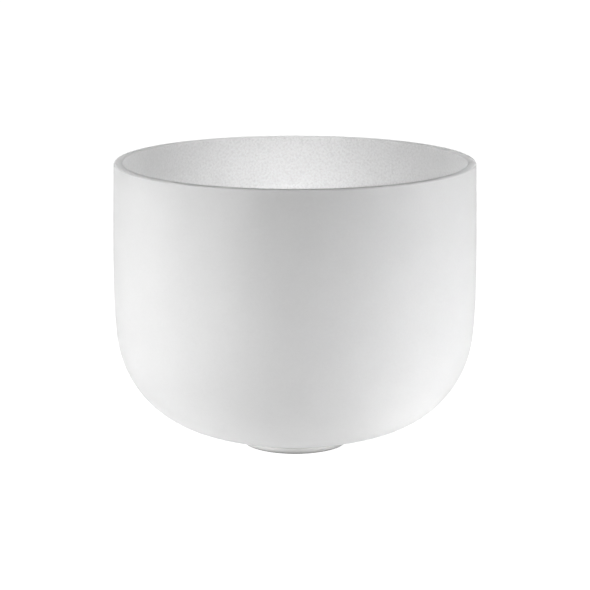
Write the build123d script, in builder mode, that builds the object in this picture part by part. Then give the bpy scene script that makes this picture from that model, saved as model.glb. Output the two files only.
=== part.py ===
from build123d import *
import os
from math import asin, cos, degrees, radians, sin, sqrt

# Frosted quartz singing bowl on its silicone support ring, in millimetres.
# Origin: on the table, on the bowl's axis. +Z is up, along the axis.

# Bowl: one fused-quartz shell, 12 inch class
rim_diameter = 305.0
bowl_height = 240.0  # crown's underside to rim
wall_thickness = 7.5
rim_edge_radius = 0.8  # ground-off edges of the flat rim

# Outside of the bowl from the rim down: wall, flank, knuckle, crown, each an arc tangent to the next
belly_depth = 96.5  # rim down to the widest circle
belly_swell = 1.4  # how much wider than the rim the radius is there
flank_radius = 594.0
flank_sweep = 4.9  # degrees
knuckle_radius = 90.0

# Support ring: a round silicone cord, pressed a little flat by the bowl's weight
cord_diameter = 7.0
cord_circle_diameter = 83.5
cord_squash = 0.3  # taken off underneath, and again where the bowl sits
seat_gap = 0.2

rim_radius = rim_diameter / 2
belly_radius = rim_radius + belly_swell
wall_arc_radius = (belly_depth**2 + belly_swell**2) / (2 * belly_swell)

# The knuckle's centre, measured from the crown's lowest point. The crown's arc is centred on the axis
# and touches the knuckle's, which sets its radius.
belly_height = bowl_height - belly_depth
knuckle_centre_r = belly_radius - flank_radius + (flank_radius - knuckle_radius) * cos(radians(flank_sweep))
knuckle_centre_h = belly_height - (flank_radius - knuckle_radius) * sin(radians(flank_sweep))
crown_radius = (knuckle_centre_r**2 + knuckle_centre_h**2 - knuckle_radius**2) / (
    2 * (knuckle_centre_h - knuckle_radius)
)
crown_sweep = degrees(asin(knuckle_centre_r / (crown_radius - knuckle_radius)))

# The crown rests on the cord, whose own centre line lies this high
cord_radius = cord_diameter / 2
cord_circle_radius = cord_circle_diameter / 2
cord_height = cord_radius - cord_squash
seat_reach = crown_radius + seat_gap + cord_radius - cord_squash
crown_centre_z = cord_height + sqrt(seat_reach**2 - cord_circle_radius**2)
crown_bottom_z = crown_centre_z - crown_radius
rim_z = crown_bottom_z + bowl_height
belly_z = crown_bottom_z + belly_height


def shell_line(inset):
    """The bowl's outline, rim to axis, drawn this far inside the outer surface."""
    wall_radius = wall_arc_radius - inset
    wall_sweep = degrees(asin(belly_depth / wall_radius))
    CenterArc((belly_radius - wall_arc_radius, belly_z), wall_radius, 0, wall_sweep)
    CenterArc((belly_radius - flank_radius, belly_z), flank_radius - inset, -flank_sweep, flank_sweep)
    CenterArc(
        (knuckle_centre_r, crown_bottom_z + knuckle_centre_h),
        knuckle_radius - inset,
        crown_sweep - 90,
        90 - flank_sweep - crown_sweep,
    )
    CenterArc((0, crown_centre_z), crown_radius - inset, -90, crown_sweep)


# One shell of even thickness, with a flat rim whose two edges are rounded
with BuildPart() as bowl:
    with BuildSketch(Plane.XZ):
        with BuildLine() as outline:
            shell_line(0)
            shell_line(wall_thickness)
            rim_ends = outline.vertices().group_by(Axis.Y)[-1].sort_by(Axis.X)
            Line(rim_ends[0], rim_ends[-1])
            axis_ends = outline.vertices().group_by(Axis.X)[0].sort_by(Axis.Y)
            Line(axis_ends[0], axis_ends[-1])
        make_face()
    revolve(axis=Axis.Z)
    rim_edges = bowl.edges().filter_by(GeomType.CIRCLE).group_by(Axis.Z)[-1]
    fillet(rim_edges, rim_edge_radius)

# The cord's section is flat where it stands on the table and hollowed where the crown sits in it
with BuildPart() as support_ring:
    with BuildSketch(Plane.XZ):
        with Locations((cord_circle_radius, cord_height)):
            Circle(cord_radius)
        with Locations((cord_circle_radius, 0)):
            Rectangle(cord_diameter, cord_diameter, align=(Align.CENTER, Align.MAX), mode=Mode.SUBTRACT)
        with Locations((0, crown_centre_z)):
            Circle(crown_radius + seat_gap, mode=Mode.SUBTRACT)
    revolve(axis=Axis.Z)

bowl.part.label = "bowl"
support_ring.part.label = "support_ring"

os.makedirs("parts", exist_ok=True)
export_step(bowl.part, "parts/bowl.step")
export_step(support_ring.part, "parts/support_ring.step")

print(f"crown radius {crown_radius:.2f}, sweep {crown_sweep:.2f} deg, lowest at z {crown_bottom_z:.3f}")
print(f"rim at z {rim_z:.3f}, bowl volume {bowl.part.volume:.0f}, ring volume {support_ring.part.volume:.0f}")
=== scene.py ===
import math

import bpy
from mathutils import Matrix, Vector, noise


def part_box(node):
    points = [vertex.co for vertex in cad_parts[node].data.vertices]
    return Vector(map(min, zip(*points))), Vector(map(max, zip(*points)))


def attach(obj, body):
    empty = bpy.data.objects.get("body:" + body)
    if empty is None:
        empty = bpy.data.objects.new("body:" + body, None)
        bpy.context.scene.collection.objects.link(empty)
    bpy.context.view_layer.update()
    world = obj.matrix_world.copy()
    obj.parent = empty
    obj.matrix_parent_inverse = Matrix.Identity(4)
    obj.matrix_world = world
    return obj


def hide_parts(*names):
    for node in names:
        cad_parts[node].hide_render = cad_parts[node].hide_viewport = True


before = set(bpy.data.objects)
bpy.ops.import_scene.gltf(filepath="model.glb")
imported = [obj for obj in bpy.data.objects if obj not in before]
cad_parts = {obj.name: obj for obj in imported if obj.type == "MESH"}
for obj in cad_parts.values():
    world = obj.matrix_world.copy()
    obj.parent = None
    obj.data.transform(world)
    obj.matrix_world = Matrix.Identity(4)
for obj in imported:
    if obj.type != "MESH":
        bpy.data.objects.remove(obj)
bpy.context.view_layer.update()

# Frosted quartz singing bowl on its silicone ring. Metres, +Z up, origin on the table under the bowl's axis.

MM = 0.001
QUARTER = math.pi / 2
ON_AXIS = 1e-9

# --- The bowl's section: top and bottom from its CAD node's box, the rest from its driving dimensions

bowl_low, bowl_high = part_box("bowl")
RIM_Z = bowl_high.z
CROWN_Z = bowl_low.z

WALL_THICKNESS = 7.5 * MM
RIM_EDGE = 0.8 * MM
BELLY_RADIUS = 153.9 * MM
BELLY_DEPTH = 96.5 * MM
BELLY_SWELL = 1.4 * MM
FLANK_RADIUS = 594.0 * MM
FLANK_SWEEP = math.radians(4.9)
KNUCKLE_RADIUS = 90.0 * MM

BELLY_Z = RIM_Z - BELLY_DEPTH
WALL_RADIUS = (BELLY_DEPTH**2 + BELLY_SWELL**2) / (2 * BELLY_SWELL)
KNUCKLE_R = BELLY_RADIUS - (FLANK_RADIUS - KNUCKLE_RADIUS) * (1 - math.cos(FLANK_SWEEP)) - KNUCKLE_RADIUS
KNUCKLE_Z = BELLY_Z - (FLANK_RADIUS - KNUCKLE_RADIUS) * math.sin(FLANK_SWEEP)
KNUCKLE_H = KNUCKLE_Z - CROWN_Z
CROWN_RADIUS = (KNUCKLE_R**2 + KNUCKLE_H**2 - KNUCKLE_RADIUS**2) / (2 * (KNUCKLE_H - KNUCKLE_RADIUS))
CROWN_SWEEP = math.asin(KNUCKLE_R / (CROWN_RADIUS - KNUCKLE_RADIUS))
CROWN_CENTRE_Z = CROWN_Z + CROWN_RADIUS

ARC_STEPS = (26, 34, 12, 24)
EDGE_STEPS = 8
RIM_STEPS = 4
BOWL_SEGMENTS = 360

# Spun quartz is a little uneven: the depth and the length of its waves, outside and inside
OUTER_WAVE = (0.10 * MM, 55 * MM)
INNER_WAVE = (0.20 * MM, 26 * MM)

# --- The ring's section: its width from its CAD node's box, the cord from its driving dimensions

ring_low, ring_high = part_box("support_ring")

CORD_RADIUS = 3.5 * MM
CORD_SQUASH = 0.3 * MM
SEAT_GAP = 0.2 * MM
RING_RADIUS = (ring_high.x - ring_low.x) / 2 - CORD_RADIUS
MOULD_RIDGE = 0.08 * MM
CORD_STEPS = 56
RING_SEGMENTS = 240


def arc(centre, radius, start, end, steps):
    """Points of an arc in the (r, z) half-plane, its last one left to whatever follows."""
    return [
        (centre[0] + radius * math.cos(a), centre[1] + radius * math.sin(a))
        for a in (start + (end - start) * i / steps for i in range(steps))
    ]


def level_line(r_start, r_end, z, steps):
    """Points along a level line of the section, its last one left out."""
    return [(r_start + (r_end - r_start) * i / steps, z) for i in range(steps)]


def edge_reach(inset):
    """How far the rounded rim edge's centre is from the wall arc's, on the outer face or an inset one."""
    return WALL_RADIUS - inset - (RIM_EDGE if inset == 0 else -RIM_EDGE)


def shell_arcs(inset):
    """Centre, radius, start and end of the shell's four arcs from crown to rim. inset is 0 for the outer
    face."""
    top = math.asin((RIM_Z - RIM_EDGE - BELLY_Z) / edge_reach(inset))
    return [
        ((0, CROWN_CENTRE_Z), CROWN_RADIUS - inset, -QUARTER, CROWN_SWEEP - QUARTER),
        ((KNUCKLE_R, KNUCKLE_Z), KNUCKLE_RADIUS - inset, CROWN_SWEEP - QUARTER, -FLANK_SWEEP),
        ((BELLY_RADIUS - FLANK_RADIUS, BELLY_Z), FLANK_RADIUS - inset, -FLANK_SWEEP, 0),
        ((BELLY_RADIUS - WALL_RADIUS, BELLY_Z), WALL_RADIUS - inset, 0, top),
    ]


def rim_edge(inset):
    """The angle at which the outer or the inner face ends, and the centre of its rounded edge."""
    top = shell_arcs(inset)[-1][3]
    reach = edge_reach(inset)
    return top, (BELLY_RADIUS - WALL_RADIUS + reach * math.cos(top), BELLY_Z + reach * math.sin(top))


def bowl_outline():
    """The section from the crown's underside over the rim to the inside of the crown, in three stretches:
    the outside, the rim and the inside."""
    outer_arcs, inner_arcs = shell_arcs(0), shell_arcs(WALL_THICKNESS)
    outside = [p for a, n in zip(outer_arcs, ARC_STEPS) for p in arc(*a, n)]

    outer_top, outer_edge = rim_edge(0)
    inner_top, inner_edge = rim_edge(WALL_THICKNESS)
    rim = arc(outer_edge, RIM_EDGE, outer_top, QUARTER, EDGE_STEPS)
    rim += level_line(outer_edge[0], inner_edge[0], RIM_Z, RIM_STEPS)
    rim += arc(inner_edge, RIM_EDGE, QUARTER, math.pi + inner_top, EDGE_STEPS)

    inside = [
        p
        for (centre, radius, start, end), n in zip(reversed(inner_arcs), reversed(ARC_STEPS))
        for p in arc(centre, radius, end, start, n)
    ]
    inside.append((0, CROWN_Z + WALL_THICKNESS))
    return outside, rim, inside


def cord_outline():
    """The cord's round section, flat on the table and hollowed by the crown, with the mould's ridges."""
    centre = Vector((RING_RADIUS, CORD_RADIUS - CORD_SQUASH))
    crown = Vector((0, CROWN_CENTRE_Z))
    seat = CROWN_RADIUS + SEAT_GAP
    outline = []
    for i in range(CORD_STEPS):
        angle = math.tau * i / CORD_STEPS
        ridge = MOULD_RIDGE if i in (0, CORD_STEPS // 2) else 0
        point = centre + (CORD_RADIUS - MOULD_RIDGE + ridge) * Vector((math.cos(angle), math.sin(angle)))
        point.y = max(point.y, 0)
        reach = (point - crown).length
        if reach < seat:
            point = crown + (point - crown) * seat / reach
        outline.append(tuple(point))
    return outline


def add_mesh(name, vertices, faces):
    mesh = bpy.data.meshes.new(name)
    mesh.from_pydata(vertices, [], faces)
    piece = bpy.data.objects.new(name, mesh)
    bpy.context.scene.collection.objects.link(piece)
    return piece


def lathe(name, outline, segments, closed, shape):
    """A mesh swept round Z from (r, z) points. shape moves each (point, outline index). A point on the axis
    becomes one vertex."""
    angles = [math.tau * i / segments for i in range(segments)]
    vertices, rings = [], []
    for index, (r, z) in enumerate(outline):
        if r < ON_AXIS:
            rings.append([len(vertices)] * segments)
            vertices.append(Vector((0, 0, z)))
            continue
        rings.append(list(range(len(vertices), len(vertices) + segments)))
        vertices += [shape(Vector((r * math.cos(a), r * math.sin(a), z)), index) for a in angles]
    faces = []
    for lower, upper in zip(rings, rings[1:] + rings[:1] if closed else rings[1:]):
        for i in range(segments):
            j = (i + 1) % segments
            corners = [lower[i], lower[j], upper[j], upper[i]]
            faces.append(list(dict.fromkeys(corners)))
    piece = add_mesh(name, vertices, faces)
    piece.data.shade_smooth()
    return piece


# --- Materials


class Nodes:
    """A material's node tree with short calls to add and join nodes."""

    def __init__(self, name):
        self.material = bpy.data.materials.new(name)
        self.material.use_nodes = True
        self.tree = self.material.node_tree
        self.tree.nodes.clear()
        self.shader = self.add("ShaderNodeBsdfPrincipled")
        output = self.add("ShaderNodeOutputMaterial")
        self.join(self.shader.outputs["BSDF"], output.inputs["Surface"])
        self.place = self.add("ShaderNodeTexCoord").outputs["Object"]

    def add(self, kind, **values):
        node = self.tree.nodes.new(kind)
        for key, value in values.items():
            setattr(node, key, value)
        return node

    def join(self, source, target):
        self.tree.links.new(source, target)

    def set(self, **values):
        for key, value in values.items():
            self.shader.inputs[key.replace("_", " ")].default_value = value

    def noise(self, size, detail=2.0, roughness=0.5):
        """Noise whose features are about size metres across, from 0 to 1."""
        node = self.add("ShaderNodeTexNoise")
        node.inputs["Scale"].default_value = 1 / size
        node.inputs["Detail"].default_value = detail
        node.inputs["Roughness"].default_value = roughness
        self.join(self.place, node.inputs["Vector"])
        return node.outputs["Fac"]

    def span(self, value, low, high, to_low, to_high):
        """value from low to high becomes to_low to to_high, and no more."""
        node = self.add("ShaderNodeMapRange")
        self.join(value, node.inputs["Value"])
        ends = {"From Min": low, "From Max": high, "To Min": to_low, "To Max": to_high}
        for socket, number in ends.items():
            node.inputs[socket].default_value = number
        return node.outputs["Result"]

    def vary(self, value, middle, reach):
        """Noise becomes middle give or take reach: it lies mostly between 0.3 and 0.7."""
        return self.span(value, 0.3, 0.7, middle - reach, middle + reach)

    def from_axis(self):
        """Distance from the bowl's axis, on a level surface at the origin."""
        node = self.add("ShaderNodeVectorMath", operation="LENGTH")
        self.join(self.place, node.inputs[0])
        return node.outputs["Value"]

    def behind_axis(self):
        """Distance behind the bowl's axis."""
        node = self.add("ShaderNodeSeparateXYZ")
        self.join(self.place, node.inputs["Vector"])
        return node.outputs["Y"]

    def combine(self, operation, first, second):
        """Two values, or a value and a number, put together by a math operation."""
        node = self.add("ShaderNodeMath", operation=operation)
        for socket, value in zip(node.inputs, (first, second)):
            if isinstance(value, (int, float)):
                socket.default_value = value
            else:
                self.join(value, socket)
        return node.outputs["Value"]

    def grey(self, value, tint=(1.0, 1.0, 1.0)):
        """The base colour: value, with each channel times its tint."""
        node = self.add("ShaderNodeCombineColor")
        for channel, factor in zip(("Red", "Green", "Blue"), tint):
            self.join(self.combine("MULTIPLY", value, factor), node.inputs[channel])
        self.join(node.outputs["Color"], self.shader.inputs["Base Color"])

    def bump(self, *layers):
        """Each layer is (height from 0 to 1, its depth in metres)."""
        normal = None
        for height, depth in layers:
            node = self.add("ShaderNodeBump")
            node.inputs["Distance"].default_value = depth
            self.join(height, node.inputs["Height"])
            if normal:
                self.join(normal, node.inputs["Normal"])
            normal = node.outputs["Normal"]
        self.join(normal, self.shader.inputs["Normal"])


# Milky fused quartz: light wanders this far through it, and its faces send this much back
WALL_ALBEDO = 0.92
WALL_SCATTER = 85 * MM
# Painted shade: the rim's base is darker than the wall's, for the shade along its top face under a dim
# overhead
RIM_PAINTED_SHADE_ALBEDO = 0.85
RIM_SCATTER = 100 * MM
QUARTZ_IOR = 1.458

# Painted shade: the white silicone's base is a mid grey, for the shade it sits in under the bowl
SILICONE_PAINTED_SHADE_ALBEDO = 0.50
SILICONE_TINT = (1.0, 1.0, 0.985)
SILICONE_SCATTER = 3 * MM
SILICONE_IOR = 1.41

# Painted sparkle: the grit's speckle is stronger on the far side of the bowl, where the back light shows it.
# How far behind the axis it grows, and from what share
PAINTED_SPARKLE_NEAR, PAINTED_SPARKLE_FAR, PAINTED_SPARKLE_SHARE = 80 * MM, 140 * MM, 0.4


def quartz(name, size, speckle, depth, mottle, roughness, albedo, scatter):
    """Frosted quartz whose grit is size across and depth deep. Its tone varies by speckle from grit to grit
    and by mottle from patch to patch. The speckle is the grain's own tone, painted stronger towards the far
    side as sparkle where the back light shows it."""
    n = Nodes(name)
    grit = n.noise(size, detail=3.0, roughness=0.6)
    patches = n.noise(22 * MM, detail=3.0)
    # Painted sparkle: the grain's speckle grows towards the far side, where the back light shows it
    painted_sparkle_share = n.span(n.behind_axis(), PAINTED_SPARKLE_NEAR, PAINTED_SPARKLE_FAR, PAINTED_SPARKLE_SHARE, 1.0)
    grain_with_painted_sparkle = n.combine("MULTIPLY", n.vary(grit, 0, speckle), painted_sparkle_share)
    n.grey(n.combine("ADD", n.combine("ADD", grain_with_painted_sparkle, n.vary(patches, 0, mottle)), albedo))
    n.join(n.vary(grit, roughness, 0.06), n.shader.inputs["Roughness"])
    n.bump((patches, 0.15 * MM), (grit, depth))
    n.set(Subsurface_Weight=1.0, Subsurface_Radius=(1.0, 1.0, 1.0), Subsurface_Scale=scatter)
    n.set(IOR=QUARTZ_IOR, Specular_IOR_Level=0.5)
    return n.material


def bowl_materials():
    """The frosted outside, the ground rim with its base darkened as painted shade, and the sandy inside."""
    wall = {"albedo": WALL_ALBEDO, "scatter": WALL_SCATTER}
    rim = {"albedo": RIM_PAINTED_SHADE_ALBEDO, "scatter": RIM_SCATTER}
    return [
        quartz("quartz_frosted_outside", 1.8 * MM, 0.03, 0.03 * MM, mottle=0.006, roughness=0.62, **wall),
        quartz("quartz_ground_rim_painted_shade", 0.6 * MM, 0.02, 0.01 * MM, mottle=0.004, roughness=0.5, **rim),
        quartz("quartz_sandy_inside", 1.9 * MM, 0.13, 0.10 * MM, mottle=0.008, roughness=0.5, **wall),
    ]


def silicone():
    n = Nodes("silicone_white_painted_shade")
    fine = n.noise(0.6 * MM)
    patches = n.noise(9 * MM)
    # The ring's base: white silicone greyed as painted shade, with a little random tone from patch to patch
    n.grey(n.combine("ADD", n.vary(patches, 0, 0.012), SILICONE_PAINTED_SHADE_ALBEDO), SILICONE_TINT)
    n.join(n.vary(fine, 0.485, 0.065), n.shader.inputs["Roughness"])
    n.bump((patches, 0.05 * MM), (fine, 0.01 * MM))
    n.set(Subsurface_Weight=0.7, Subsurface_Radius=(1.0, 1.0, 1.0), Subsurface_Scale=SILICONE_SCATTER)
    n.set(IOR=SILICONE_IOR)
    return n.material


def glowing(name, albedo, roughness):
    """A surface with white emission, whose strength is left to the caller."""
    n = Nodes(name)
    n.set(Base_Color=(albedo, albedo, albedo, 1.0), Roughness=roughness, Specular_IOR_Level=0.0)
    n.set(Emission_Color=(1.0, 1.0, 1.0, 1.0))
    return n


# --- Pieces


def build_bowl():
    outside, rim, inside = bowl_outline()
    first_rim = len(outside)
    first_inside = first_rim + len(rim)

    def shape(point, index):
        """Waves go into the outside and both ways inside, and leave the rim true."""
        outward = Vector((point.x, point.y, 0)).normalized()
        if index >= first_inside:
            depth, length = INNER_WAVE
            return point + outward * (depth * noise.noise(point / length))
        if index < first_rim:
            depth, length = OUTER_WAVE
            return point + outward * (-depth * abs(noise.noise(point / length)))
        return point

    bowl = lathe("quartz_bowl", outside + rim + inside, BOWL_SEGMENTS, False, shape)
    for material in bowl_materials():
        bowl.data.materials.append(material)
    for index, polygon in enumerate(bowl.data.polygons):
        band = index // BOWL_SEGMENTS
        polygon.material_index = (band >= first_rim) + (band >= first_inside)
    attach(bowl, "bowl")
    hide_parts("bowl")


def build_ring():
    ring = lathe("silicone_ring", cord_outline(), RING_SEGMENTS, True, lambda point, index: point)
    ring.data.materials.append(silicone())
    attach(ring, "ring")
    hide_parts("support_ring")


# --- Camera

CAMERA_DISTANCE = 2.2
CAMERA_ELEVATION = math.radians(11.64)
CAMERA_TARGET = Vector((0, 0, 0.12824))
CAMERA_LENS = 157.73
CAMERA_SENSOR = 36.0


def aim(item, place, target):
    item.location = place
    item.rotation_euler = (target - place).to_track_quat("-Z", "Y").to_euler()


def build_camera():
    data = bpy.data.cameras.new("camera")
    data.lens = CAMERA_LENS
    data.sensor_width = CAMERA_SENSOR
    camera = bpy.data.objects.new("camera", data)
    back = Vector((0, -math.cos(CAMERA_ELEVATION), math.sin(CAMERA_ELEVATION)))
    aim(camera, CAMERA_TARGET + back * CAMERA_DISTANCE, CAMERA_TARGET)
    bpy.context.scene.collection.objects.link(camera)
    bpy.context.scene.camera = camera


# --- Table and surround: white to the camera, while the lamps and a faint glow alone light the bowl

FLOOR_RADIUS = 14.0
FLAT_RING_STEPS = 96

# Painted shade: the table's glow is a little dimmer round the bowl: (distance from the axis, emission)
FLOOR_PAINTED_SHADE_NEAR, FLOOR_FAR = (0.15, 0.86), (0.8, 1.05)
GLOW_NEAR, GLOW_FAR = (0.046, 0.32), (0.085, 0.52)
GLOW_HEIGHT = 0.3 * MM
GLOW_BANDS = {"table_glow": (0.05, 0.16), "table_glow_inside": (0, 0.038)}


def flat_ring(name, inner, outer, z, material):
    steps = FLAT_RING_STEPS
    vertices = [
        (radius * math.cos(math.tau * i / steps), radius * math.sin(math.tau * i / steps), z)
        for i in range(steps)
        for radius in (inner, outer)
    ]
    faces = [(2 * i, 2 * i + 1, (2 * i + 3) % (2 * steps), (2 * i + 2) % (2 * steps)) for i in range(steps)]
    piece = add_mesh(name, vertices, faces)
    piece.data.materials.append(material)
    return piece


def build_floor():
    """A white table that only the camera sees. It takes a faint shadow from the lamps, and its glow is
    painted dimmer round the bowl as shade.
    """
    n = glowing("floor_white", 0.8, 0.8)
    (near, dim), (far, bright) = FLOOR_PAINTED_SHADE_NEAR, FLOOR_FAR
    # Painted shade: the glow fades from the far table towards the bowl
    n.join(n.span(n.from_axis(), near, far, dim, bright), n.shader.inputs["Emission Strength"])
    floor = flat_ring("floor", 0, FLOOR_RADIUS, 0, n.material)
    floor.visible_diffuse = False
    floor.visible_glossy = False
    floor.visible_transmission = False


def build_table_glow():
    """What the table sends back up, less near and inside the ring. The camera doesn't see it."""
    n = glowing("table_glow", 0.0, 0.5)
    (near, dim), (far, bright) = GLOW_NEAR, GLOW_FAR
    n.join(n.span(n.from_axis(), near, far, dim, bright), n.shader.inputs["Emission Strength"])
    for name, (inner, outer) in GLOW_BANDS.items():
        glow = flat_ring(name, inner, outer, GLOW_HEIGHT, n.material)
        glow.visible_camera = False
        glow.visible_shadow = False


def build_world():
    world = bpy.data.worlds.new("studio")
    bpy.context.scene.world = world
    world.use_nodes = True
    background = world.node_tree.nodes["Background"]
    background.inputs["Color"].default_value = (1, 1, 1, 1)
    background.inputs["Strength"].default_value = 1.0
    world.cycles_visibility.diffuse = False
    world.cycles_visibility.glossy = False
    world.cycles_visibility.transmission = False
    world.cycles_visibility.scatter = False


# --- Lamps

PANEL_HEIGHT = 4 * MM


def lamp(name, size, power):
    data = bpy.data.lights.new(name, "AREA")
    data.shape = "RECTANGLE"
    data.size, data.size_y = size
    data.energy = power
    item = bpy.data.objects.new(name, data)
    item.visible_camera = False
    bpy.context.scene.collection.objects.link(item)
    return item


def softbox(name, azimuth, elevation, distance, height, size, power):
    """A soft light that faces the axis at a height. Azimuth 0 is behind the bowl and 90 is to its right."""
    around, up = math.radians(azimuth), math.radians(elevation)
    target = Vector((0, 0, height))
    way = Vector((math.sin(around) * math.cos(up), math.cos(around) * math.cos(up), math.sin(up)))
    aim(lamp(name, size, power), target + way * distance, target)


def panel(name, x, y, size, power):
    """A glowing panel that lies on the table, facing up."""
    item = lamp(name, size, power)
    item.location = (x, y, PANEL_HEIGHT)
    item.rotation_euler = (math.pi, 0, 0)


def build_lamps():
    far_strip = {"elevation": 3, "distance": 1.2, "height": 0.06}
    low_strip = {"elevation": 3, "distance": 0.6, "height": 0.03, "size": (0.3, 0.1), "power": 0.85}
    softbox("left_strip", -90, **far_strip, size=(0.5, 0.25), power=7.4)
    softbox("left_front_strip", -140, **far_strip, size=(0.5, 0.25), power=7.8)
    softbox("left_front_low", -140, **low_strip)
    softbox("right_strip", 102, **far_strip, size=(0.4, 0.25), power=10.6)
    softbox("right_front_low", 130, **low_strip)
    softbox("overhead", 180, elevation=80, distance=1.6, height=0.12, size=(0.5, 0.5), power=13.6)
    softbox("back_glow", 0, elevation=-2, distance=0.45, height=0.16, size=(0.16, 0.12), power=1.1)
    panel("front_right_panel", 0.24, -0.24, size=(0.3, 0.3), power=0.27)


build_camera()
build_floor()
build_table_glow()
build_lamps()
build_world()
build_bowl()
build_ring()
bpy.context.scene.view_settings.view_transform = "Standard"
